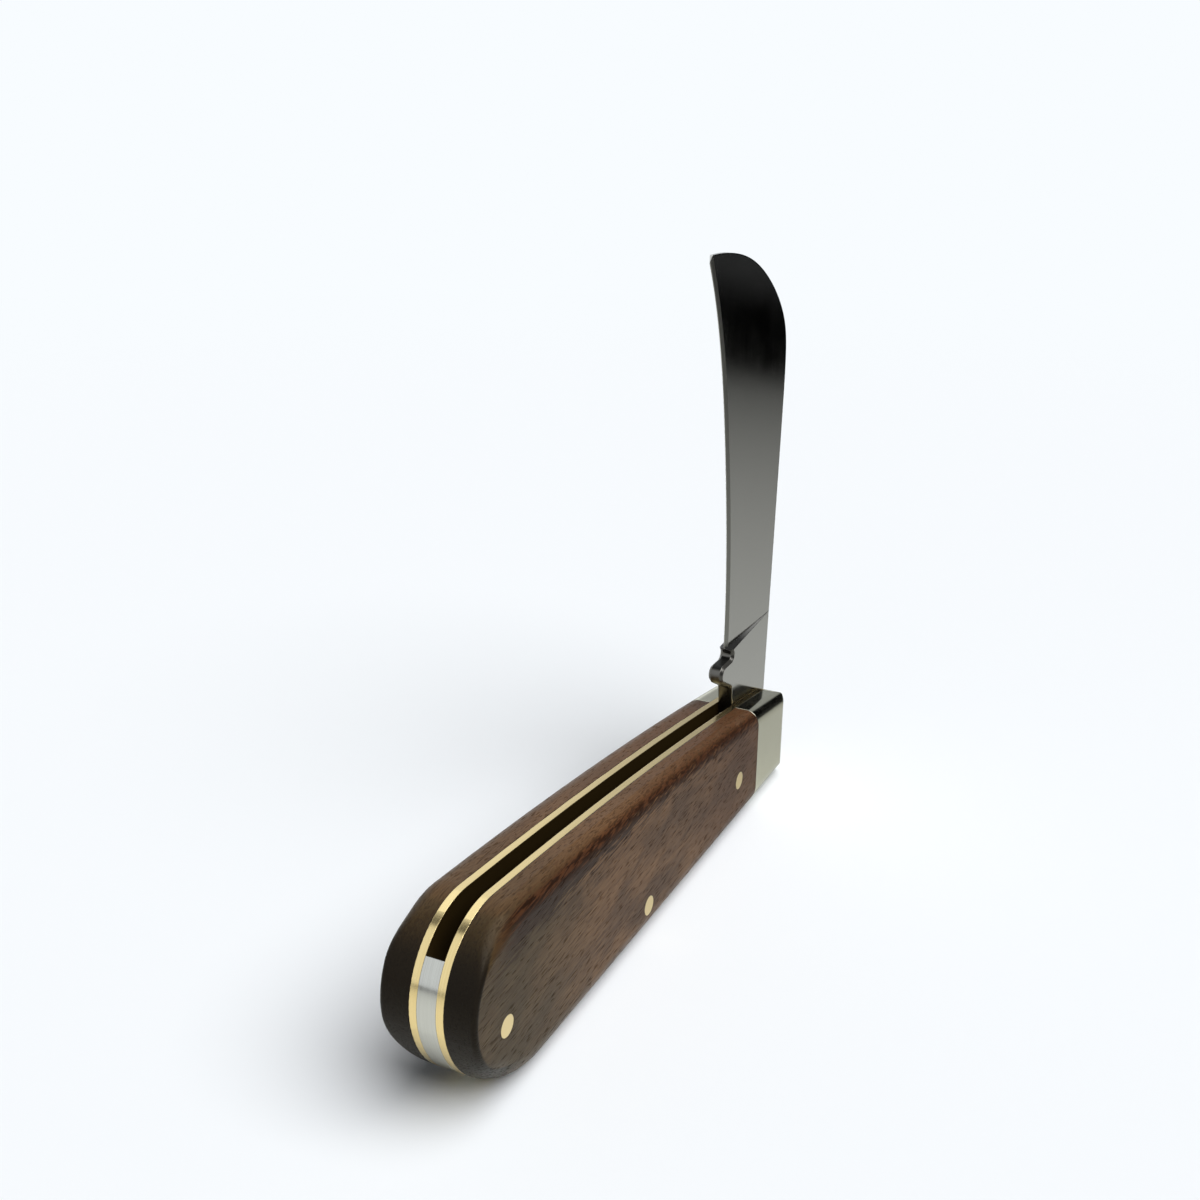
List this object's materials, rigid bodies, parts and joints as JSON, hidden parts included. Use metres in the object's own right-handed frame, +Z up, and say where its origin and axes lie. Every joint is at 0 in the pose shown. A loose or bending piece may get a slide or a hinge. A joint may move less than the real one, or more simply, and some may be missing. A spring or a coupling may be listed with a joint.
{
  "type": "pruning pocket knife",
  "caption": "Slip-joint folding knife with a hooked pruning blade, rosewood scales, brass liners, nickel silver bolsters and a back spring; the blade turns on a pivot pin.",
  "frame": {"origin": "middle of the flat back of the handle, on the underside of the back spring, where the knife rests in the picture", "axes": "+X along the handle from the butt to the bolsters, +Y across the handle from the mark side to the pile side, +Z up from the back, the way the half-open blade stands"},
  "size_m": [0.1051, 0.0126, 0.0894],
  "materials": {
    "blade_steel": "glazed carbon steel, mirror polished",
    "spring_steel": "carbon steel, fine satin",
    "liner_brass": "sheet brass, polished edges",
    "scale_rosewood": "oiled rosewood, buffed",
    "bolster_nickel_silver": "nickel silver, polished",
    "pin_brass": "brass rod, filed flush and buffed"
  },
  "bodies": {
    "handle": {"backspring": "spring_steel", "mark_side_liner": "liner_brass", "pile_side_liner": "liner_brass", "mark_side_scale": "scale_rosewood", "pile_side_scale": "scale_rosewood", "mark_side_bolster": "bolster_nickel_silver", "pile_side_bolster": "bolster_nickel_silver", "butt_pin": "pin_brass", "spring_pin": "pin_brass", "pivot_pin": "bolster_nickel_silver", "mark_side_scale_pin": "pin_brass", "pile_side_scale_pin": "pin_brass", "mark_side_bolster_rivets": "bolster_nickel_silver", "pile_side_bolster_rivets": "bolster_nickel_silver"},
    "blade": {"blade": "blade_steel"}
  },
  "joints": [
    {"name": "blade_pivot", "type": "hinge", "parent": "handle", "child": "blade", "pos_m": [0.03756, 0, 0.0082], "axis": [0, 1, 0], "range_deg": [-70.6, 87], "deforming": ["backspring"]}
  ]
}
